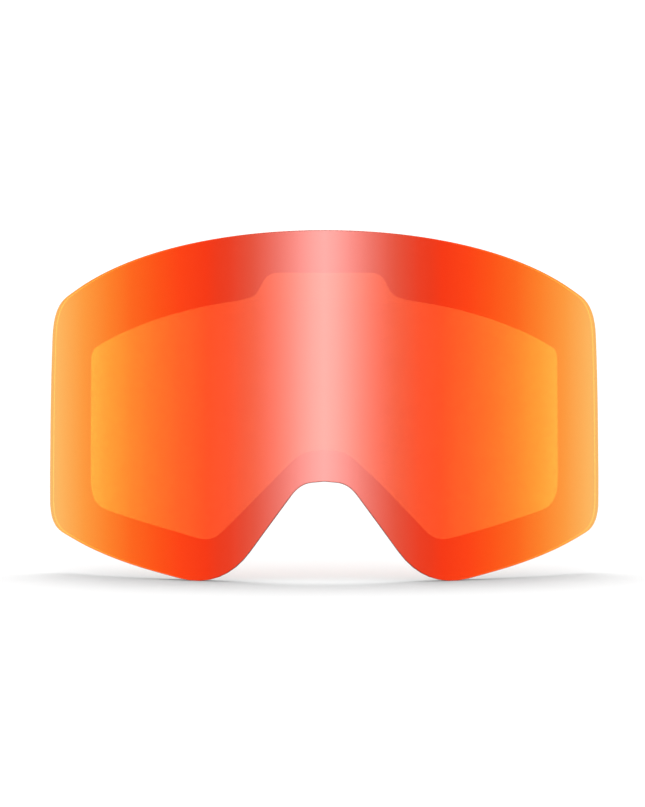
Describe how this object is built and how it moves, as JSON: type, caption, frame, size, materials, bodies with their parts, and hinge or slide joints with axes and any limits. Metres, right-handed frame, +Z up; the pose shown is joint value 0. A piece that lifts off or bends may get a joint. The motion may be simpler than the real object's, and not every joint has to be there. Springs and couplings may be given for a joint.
{
  "type": "magnetic double lens unit for ski goggles",
  "caption": "Cylindrical mirrored outer lens bonded to a magnet carrier, with a clear inner pane on a foam spacer, a raised brow tab and a nose cut-out, for ski goggles.",
  "frame": {"origin": "on the surface that the two lower lobes stand on, under the middle of the unit's box", "axes": "+X towards the wearer's left, -Y the way the mirrored front faces, +Z up towards the brow"},
  "size_m": [0.1764, 0.0504, 0.1095],
  "materials": {
    "mirror_lens": "tinted polycarbonate with an orange-red mirror coat, paler pink at the middle and amber at the sides",
    "clear_pane": "clear cellulose sheet, anti-fog coated on the rear",
    "carrier_plastic": "fine moulded texture, satin black nylon",
    "magnet_nickel": "nickel plate, slightly dulled",
    "black_tape": "black adhesive film",
    "spacer_foam": "closed-cell foam, cut edges",
    "vent_plastic": "satin moulded plastic",
    "vent_membrane": "matt microporous film"
  },
  "bodies": {
    "root": {"outer_lens": "mirror_lens", "lens_bond_tape": "black_tape", "magnet_carrier": "carrier_plastic", "magnet_top_inner_left": "magnet_nickel", "magnet_top_inner_right": "magnet_nickel", "magnet_top_outer_left": "magnet_nickel", "magnet_top_outer_right": "magnet_nickel", "magnet_side_left": "magnet_nickel", "magnet_side_right": "magnet_nickel", "magnet_bottom_left": "magnet_nickel", "magnet_bottom_right": "magnet_nickel", "magnet_nose_left": "magnet_nickel", "magnet_nose_right": "magnet_nickel", "spacer_tape_front": "black_tape", "foam_spacer": "spacer_foam", "spacer_tape_rear": "black_tape", "vent_plug": "vent_plastic", "vent_membrane": "vent_membrane", "inner_pane": "clear_pane"}
  },
  "joints": []
}
